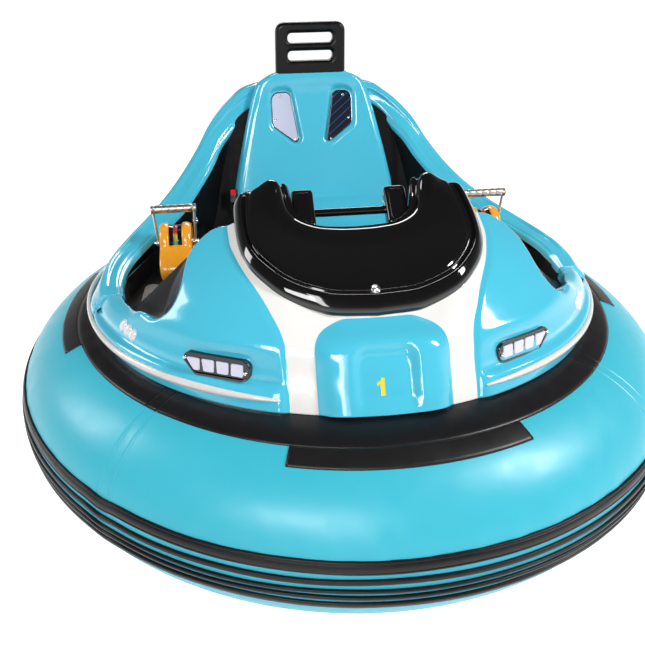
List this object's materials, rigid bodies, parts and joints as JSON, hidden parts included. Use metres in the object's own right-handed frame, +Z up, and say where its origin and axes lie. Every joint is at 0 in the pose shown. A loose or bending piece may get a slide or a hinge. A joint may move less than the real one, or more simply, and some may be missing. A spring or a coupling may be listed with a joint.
{
  "type": "inflatable-ring bumper car",
  "caption": "Low round bumper car with an inflated ring, moulded hood, high arched seat back, side levers, driven wheels and swivel casters.",
  "frame": {"origin": "on the floor under the ring's axis", "axes": "+Z up, -Y towards the nose, +X towards the driver's left"},
  "size_m": [1.8997, 1.8998, 1.165],
  "materials": {
    "ring_pvc": "satin coated fabric",
    "band_pvc": "satin coated fabric",
    "rub_rubber": "matte",
    "turquoise_grp": "polished gel coat",
    "black_grp": "polished gel coat",
    "black_plastic": "moulded",
    "grey_plate": "chequered",
    "silver_panel": "metallic film",
    "lamp_lens": "frosted",
    "white_lens": "frosted",
    "red_lens": "moulded lens",
    "bright_steel": "brushed",
    "orange_plastic": "moulded",
    "black_steel": "powder coat",
    "battery_case": "moulded",
    "motor_case": "cast",
    "tyre_rubber": "moulded",
    "zinc_steel": "zinc plated"
  },
  "bodies": {
    "root": {"back_insert_left": "black_grp", "back_insert_right": "silver_panel", "batteries": "battery_case", "belt_buckle": "black_plastic", "bumper_ring": "ring_pvc", "charge_socket": "black_plastic", "chassis_frame": "black_steel", "chassis_hoop": "black_steel", "cockpit_tub": "black_plastic", "cowl_lock": "bright_steel", "drive_motor_left": "motor_case", "drive_motor_right": "motor_case", "front_cowl": "black_grp", "front_hood": "turquoise_grp", "grab_bar": "black_plastic", "headlight_bezel_left": "black_grp", "headlight_bezel_right": "black_grp", "headlight_lenses": "lamp_lens", "headrest": "black_plastic", "lever_housing_left": "orange_plastic", "lever_housing_right": "orange_plastic", "lever_pins": "bright_steel", "light_strips": "white_lens", "rear_body": "turquoise_grp", "rear_bulkhead": "black_plastic", "ring_band": "band_pvc", "ring_patches": "band_pvc", "rub_strips": "rub_rubber", "scoop_panel_left": "black_grp", "scoop_panel_right": "black_grp", "seat": "turquoise_grp", "side_marker_left": "white_lens", "side_marker_right": "white_lens", "tail_lamps": "red_lens", "tread_plates": "grey_plate"},
    "drive_wheel_left": {"drive_hub_left": "motor_case", "drive_tyre_left": "tyre_rubber"},
    "drive_wheel_right": {"drive_hub_right": "motor_case", "drive_tyre_right": "tyre_rubber"},
    "caster_swivel_front": {"caster_fork_front": "zinc_steel"},
    "caster_swivel_rear": {"caster_fork_rear": "zinc_steel"},
    "caster_roller_front": {"caster_wheel_front": "tyre_rubber"},
    "caster_roller_rear": {"caster_wheel_rear": "tyre_rubber"},
    "lever_left": {"lever_left": "bright_steel"},
    "lever_right": {"lever_right": "bright_steel"}
  },
  "joints": [
    {"name": "lever_left_tilt", "type": "hinge", "parent": "root", "child": "lever_left", "pos_m": [0.478, 0.088, 0.592], "axis": [1, 0, 0], "range_deg": [-22, 22], "stiffness_Nm_per_rad": 1.2},
    {"name": "drive_wheel_left_spin", "type": "hinge", "parent": "root", "child": "drive_wheel_left", "pos_m": [0.35, 0, 0.1], "axis": [1, 0, 0], "continuous": true},
    {"name": "lever_right_tilt", "type": "hinge", "parent": "root", "child": "lever_right", "pos_m": [-0.478, 0.088, 0.592], "axis": [1, 0, 0], "range_deg": [-22, 22], "stiffness_Nm_per_rad": 1.2},
    {"name": "drive_wheel_right_spin", "type": "hinge", "parent": "root", "child": "drive_wheel_right", "pos_m": [-0.35, 0, 0.1], "axis": [1, 0, 0], "continuous": true},
    {"name": "caster_front_swivel", "type": "hinge", "parent": "root", "child": "caster_swivel_front", "pos_m": [0, -0.33, 0.14], "axis": [0, 0, 1], "continuous": true},
    {"name": "caster_front_roll", "type": "hinge", "parent": "caster_swivel_front", "child": "caster_roller_front", "pos_m": [0, -0.3, 0.05], "axis": [1, 0, 0], "continuous": true},
    {"name": "caster_rear_swivel", "type": "hinge", "parent": "root", "child": "caster_swivel_rear", "pos_m": [0, 0.33, 0.14], "axis": [0, 0, 1], "continuous": true},
    {"name": "caster_rear_roll", "type": "hinge", "parent": "caster_swivel_rear", "child": "caster_roller_rear", "pos_m": [0, 0.36, 0.05], "axis": [1, 0, 0], "continuous": true}
  ]
}
